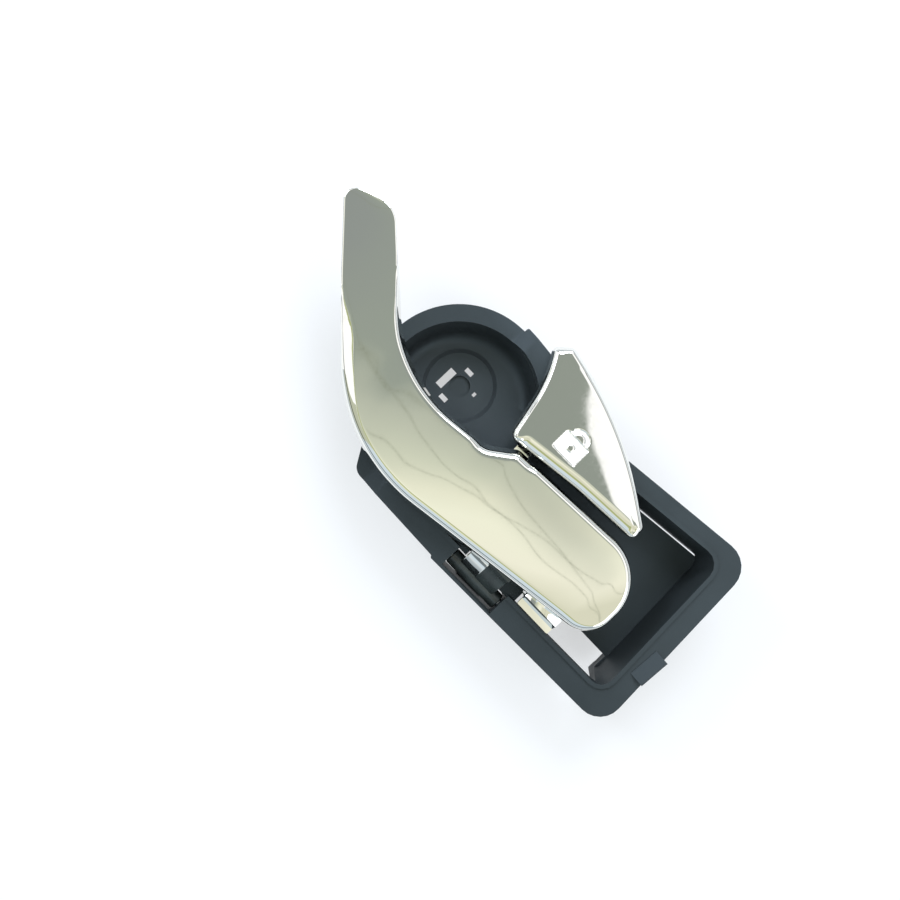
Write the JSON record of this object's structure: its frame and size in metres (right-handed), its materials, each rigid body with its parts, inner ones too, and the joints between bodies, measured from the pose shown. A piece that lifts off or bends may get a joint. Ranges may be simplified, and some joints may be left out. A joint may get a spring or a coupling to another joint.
{
  "type": "interior door handle",
  "caption": "Interior car door release: black plastic bezel with a round finger cup, a swept chromed pull lever and a small triangular chromed lock lever on one hinge pin.",
  "frame": {"origin": "axis of the screw boss under the finger cup, at the boss's back face", "axes": "+X along the bezel from the finger cup to the far end, +Y across it from the hinge pin to the lock lever, +Z towards the hand; the hinge pin lies along X and the part lies on its back"},
  "size_m": [0.1623, 0.073, 0.0393],
  "materials": {
    "bezel_plastic": "black moulded, fine satin grain",
    "chrome_plating": "bright decorative chrome plating",
    "zinc_steel": "zinc-plated steel",
    "spring_steel": "drawn spring steel",
    "white_nylon": "natural nylon",
    "black_rubber": "matte black rubber"
  },
  "bodies": {
    "bezel_body": {"bezel": "bezel_plastic", "pivot_pin": "zinc_steel", "pin_washer": "zinc_steel", "return_spring": "spring_steel", "detent_spring": "spring_steel", "pull_bumper": "black_rubber", "lock_bumper": "black_rubber"},
    "pull_body": {"pull_lever": "chrome_plating", "lever_bush_front": "white_nylon", "lever_bush_rear": "white_nylon"},
    "lock_body": {"lock_lever": "chrome_plating", "lock_bush_front": "white_nylon", "lock_bush_rear": "white_nylon"},
    "pull_clip_body": {"pull_rod_clip": "white_nylon"},
    "lock_clip_body": {"lock_rod_clip": "white_nylon"}
  },
  "joints": [
    {"name": "pull_hinge", "type": "hinge", "parent": "bezel_body", "child": "pull_body", "pos_m": [0.045, -0.0369, 0.0222], "axis": [1, 0, 0], "range_deg": [0, 35], "stiffness_Nm_per_rad": 0.12, "springref_deg": -20.05, "deforming": ["return_spring"]},
    {"name": "lock_hinge", "type": "hinge", "parent": "bezel_body", "child": "lock_body", "pos_m": [0.026, -0.0369, 0.0222], "axis": [1, 0, 0], "range_deg": [0, 14], "deforming": ["detent_spring"]},
    {"name": "pull_clip_hinge", "type": "hinge", "parent": "pull_body", "child": "pull_clip_body", "pos_m": [0.0625, -0.0286, 0.0092], "axis": [1, 0, 0], "range_deg": [-40, 10]},
    {"name": "lock_clip_hinge", "type": "hinge", "parent": "lock_body", "child": "lock_clip_body", "pos_m": [0.0239, -0.0336, 0.0092], "axis": [1, 0, 0], "range_deg": [-20, 10]}
  ]
}
